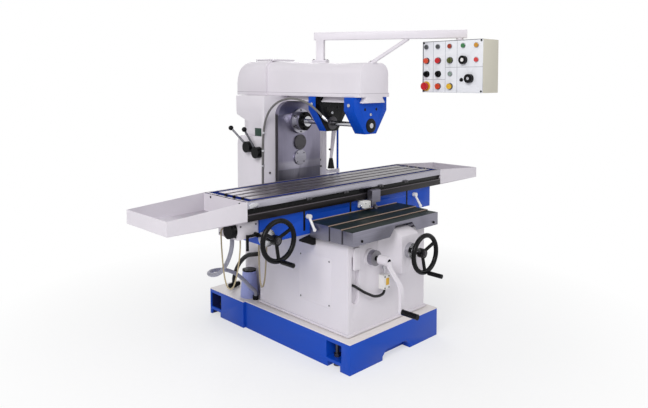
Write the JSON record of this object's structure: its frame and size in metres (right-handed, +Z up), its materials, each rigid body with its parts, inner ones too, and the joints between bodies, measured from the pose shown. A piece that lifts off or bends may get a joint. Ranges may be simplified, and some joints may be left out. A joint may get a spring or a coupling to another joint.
{
  "type": "horizontal_milling_machine",
  "caption": "Horizontal knee-type milling machine with dovetail overarm, arbor supports, long table with coolant trays, swivelling pendant control box and coolant hoses",
  "frame": {"origin": "centre of the four anchor holes in the base, at floor level", "axes": "+X runs right along the table, +Y runs back to the column, +Z is up"},
  "size_m": [2.71, 1.708, 1.9623],
  "materials": {
    "blue_paint": "satin",
    "white_paint": "satin",
    "lilac_paint": "satin",
    "pump_paint": "satin",
    "table_iron": "ground",
    "cover_steel": "brushed",
    "bright_steel": "ground",
    "chrome_rod": "polished",
    "dark_iron": "semi gloss",
    "black_plastic": "matte",
    "red_plastic": "gloss",
    "green_plastic": "gloss",
    "yellow_plastic": "gloss",
    "brass": "machined",
    "grey_hose": "matte",
    "black_hose": "matte",
    "tan_tube": "gloss"
  },
  "bodies": {
    "frame": {"base": "blue_paint", "levelling_screws": "bright_steel", "column": "white_paint", "gearbox_cover": "white_paint", "main_motor": "pump_paint", "spindle_bearings": "bright_steel", "bearing_caps": "dark_iron", "coolant_pump": "pump_paint", "hose_tee": "black_plastic", "coolant_fittings": "brass", "coolant_hose": "grey_hose", "pump_hose": "black_hose"},
    "drive_pinion": {"motor_pinion": "bright_steel"},
    "spindle_set": {"spindle": "bright_steel", "arbor": "bright_steel"},
    "high_lever": {"speed_lever_high": "chrome_rod"},
    "low_lever": {"speed_lever_low": "chrome_rod"},
    "lamp": {"work_lamp": "chrome_rod"},
    "arm": {"overarm": "white_paint", "overarm_cover": "white_paint", "boom": "lilac_paint", "boom_brace": "lilac_paint"},
    "inner_hanger": {"inner_support": "blue_paint"},
    "outer_hanger": {"outer_support": "blue_paint"},
    "pendant": {"pendant_box": "lilac_paint", "pilot_lamps": "red_plastic"},
    "start_push": {"start_button": "red_plastic"},
    "stop_push": {"stop_button": "red_plastic"},
    "jog_push": {"jog_button": "yellow_plastic"},
    "emergency_push": {"emergency_stop": "red_plastic"},
    "mode_turn": {"mode_selector": "green_plastic"},
    "feed_turn": {"feed_selector": "black_plastic"},
    "coolant_turn": {"coolant_selector": "black_plastic"},
    "drive_turn": {"drive_selector": "red_plastic"},
    "speed_turn": {"speed_knob": "black_plastic"},
    "dial_turn": {"feed_dial": "black_plastic"},
    "knee_set": {"knee": "white_paint", "cover_apron": "cover_steel", "limit_switch": "yellow_plastic", "switch_cable": "black_hose", "drain_hose": "grey_hose"},
    "sliding_cover": {"way_cover_front": "cover_steel"},
    "cross_feed": {"cross_screw": "bright_steel"},
    "cross_wheel": {"cross_handwheel": "dark_iron"},
    "lift_crank": {"elevating_crank": "chrome_rod"},
    "lift_screw": {"elevating_screw": "bright_steel"},
    "saddle_set": {"saddle": "blue_paint", "way_cover_rear": "cover_steel", "feed_gearbox": "white_paint", "trip_switch": "white_paint", "oil_line": "tan_tube", "oil_loop": "tan_tube"},
    "left_clamp": {"clamp_lever_left": "chrome_rod"},
    "right_clamp": {"clamp_lever_right": "chrome_rod"},
    "table_wheel": {"table_handwheel": "dark_iron"},
    "gearbox_knob": {"feed_knob": "black_plastic"},
    "gearbox_lever": {"feed_lever": "black_plastic"},
    "long_feed": {"table_screw": "bright_steel"},
    "table_set": {"table": "table_iron", "coolant_trays": "white_paint"}
  },
  "joints": [
    {"name": "knee_lift", "type": "slide", "parent": "frame", "child": "knee_set", "axis": [0, 0, 1], "range_m": [0, 0.25], "deforming": ["drain_hose"]},
    {"name": "saddle_cross", "type": "slide", "parent": "knee_set", "child": "saddle_set", "axis": [0, 1, 0], "range_m": [-0.17, 0.12], "deforming": ["drain_hose"]},
    {"name": "table_travel", "type": "slide", "parent": "saddle_set", "child": "table_set", "axis": [1, 0, 0], "range_m": [-0.4, 0.4]},
    {"name": "cover_slide", "type": "slide", "parent": "knee_set", "child": "sliding_cover", "axis": [0, 1, 0], "range_m": [-0.09, 0.065]},
    {"name": "cross_screw_turn", "type": "hinge", "parent": "knee_set", "child": "cross_feed", "pos_m": [0.085, -0.6065, 0.623], "axis": [0, 1, 0], "continuous": true},
    {"name": "table_screw_turn", "type": "hinge", "parent": "saddle_set", "child": "long_feed", "pos_m": [0, -0.1565, 0.8433], "axis": [1, 0, 0], "continuous": true},
    {"name": "lift_screw_turn", "type": "hinge", "parent": "knee_set", "child": "lift_screw", "pos_m": [0, -0.2, 0.69], "axis": [0, 0, 1], "continuous": true},
    {"name": "cross_wheel_turn", "type": "hinge", "parent": "knee_set", "child": "cross_wheel", "pos_m": [0.085, -0.698, 0.623], "axis": [0, 1, 0], "continuous": true},
    {"name": "lift_crank_turn", "type": "hinge", "parent": "knee_set", "child": "lift_crank", "pos_m": [-0.175, -0.6265, 0.617], "axis": [0, 1, 0], "continuous": true},
    {"name": "table_wheel_turn", "type": "hinge", "parent": "saddle_set", "child": "table_wheel", "pos_m": [-0.74, -0.3425, 0.7833], "axis": [0, 1, 0], "continuous": true},
    {"name": "arm_slide", "type": "slide", "parent": "frame", "child": "arm", "axis": [0, 1, 0], "range_m": [-0.05, 0.1]},
    {"name": "inner_hanger_slide", "type": "slide", "parent": "arm", "child": "inner_hanger", "axis": [0, 1, 0], "range_m": [-0.1, 0.05]},
    {"name": "outer_hanger_slide", "type": "slide", "parent": "arm", "child": "outer_hanger", "axis": [0, 1, 0], "range_m": [-0.015, 0.1]},
    {"name": "spindle_turn", "type": "hinge", "parent": "frame", "child": "spindle_set", "pos_m": [0, 0.1945, 1.368], "axis": [0, 1, 0], "continuous": true},
    {"name": "pinion_turn", "type": "hinge", "parent": "frame", "child": "drive_pinion", "pos_m": [0, 0.2875, 1.208], "axis": [0, 1, 0], "continuous": true},
    {"name": "high_lever_turn", "type": "hinge", "parent": "frame", "child": "high_lever", "pos_m": [-0.289, 0.3775, 1.196], "axis": [1, 0, 0], "range_deg": [-20, 20]},
    {"name": "low_lever_turn", "type": "hinge", "parent": "frame", "child": "low_lever", "pos_m": [-0.289, 0.2795, 1.165], "axis": [1, 0, 0], "range_deg": [-15, 15]},
    {"name": "lamp_swivel", "type": "hinge", "parent": "frame", "child": "lamp", "pos_m": [0.353, 0.2145, 1.3], "axis": [0, 0, 1], "range_deg": [-60, 0]},
    {"name": "pendant_swivel", "type": "hinge", "parent": "arm", "child": "pendant", "pos_m": [0.482, -0.7745, 1.8943], "axis": [0, 0, 1], "range_deg": [-90, 90]},
    {"name": "start_press", "type": "slide", "parent": "pendant", "child": "start_push", "axis": [1, 0, 0], "range_m": [0, 0.004], "stiffness_N_per_m": 800},
    {"name": "stop_press", "type": "slide", "parent": "pendant", "child": "stop_push", "axis": [1, 0, 0], "range_m": [0, 0.004], "stiffness_N_per_m": 800},
    {"name": "jog_press", "type": "slide", "parent": "pendant", "child": "jog_push", "axis": [1, 0, 0], "range_m": [0, 0.004], "stiffness_N_per_m": 800},
    {"name": "emergency_press", "type": "slide", "parent": "pendant", "child": "emergency_push", "axis": [1, 0, 0], "range_m": [0, 0.0045], "stiffness_N_per_m": 1200},
    {"name": "mode_turn", "type": "hinge", "parent": "pendant", "child": "mode_turn", "pos_m": [0.3945, -0.76566, 1.77118], "axis": [1, 0, 0], "range_deg": [-45, 45]},
    {"name": "feed_turn", "type": "hinge", "parent": "pendant", "child": "feed_turn", "pos_m": [0.3945, -0.58886, 1.68694], "axis": [1, 0, 0], "range_deg": [-45, 45]},
    {"name": "coolant_turn", "type": "hinge", "parent": "pendant", "child": "coolant_turn", "pos_m": [0.3945, -0.67726, 1.68694], "axis": [1, 0, 0], "range_deg": [-45, 45]},
    {"name": "drive_turn", "type": "hinge", "parent": "pendant", "child": "drive_turn", "pos_m": [0.3945, -0.67726, 1.60918], "axis": [1, 0, 0], "range_deg": [-45, 45]},
    {"name": "speed_turn", "type": "hinge", "parent": "pendant", "child": "speed_turn", "pos_m": [0.3945, -0.8629, 1.77118], "axis": [1, 0, 0], "range_deg": [-140, 140]},
    {"name": "dial_turn", "type": "hinge", "parent": "pendant", "child": "dial_turn", "pos_m": [0.3945, -0.9071, 1.65778], "axis": [1, 0, 0], "range_deg": [-140, 140]},
    {"name": "left_clamp_turn", "type": "hinge", "parent": "saddle_set", "child": "left_clamp", "pos_m": [-0.424, -0.3425, 0.8513], "axis": [0, 1, 0], "range_deg": [0, 40]},
    {"name": "right_clamp_turn", "type": "hinge", "parent": "saddle_set", "child": "right_clamp", "pos_m": [0.583, -0.3425, 0.8513], "axis": [0, 1, 0], "range_deg": [-40, 40]},
    {"name": "gearbox_knob_turn", "type": "hinge", "parent": "saddle_set", "child": "gearbox_knob", "pos_m": [-0.915, -0.2855, 0.8403], "axis": [1, 0, 0], "range_deg": [-120, 120]},
    {"name": "gearbox_lever_turn", "type": "hinge", "parent": "saddle_set", "child": "gearbox_lever", "pos_m": [-0.799, -0.3275, 0.8073], "axis": [0, 1, 0], "range_deg": [-20, 20]}
  ],
  "couplings": [
    {"joint": "cover_slide", "follows": "saddle_cross", "ratio": 0.5},
    {"joint": "cross_screw_turn", "follows": "saddle_cross", "rad_per_m": 628.32},
    {"joint": "table_screw_turn", "follows": "table_travel", "rad_per_m": 628.32},
    {"joint": "lift_screw_turn", "follows": "knee_lift", "rad_per_m": 628.32},
    {"joint": "pinion_turn", "follows": "spindle_turn", "ratio": -1.5}
  ]
}
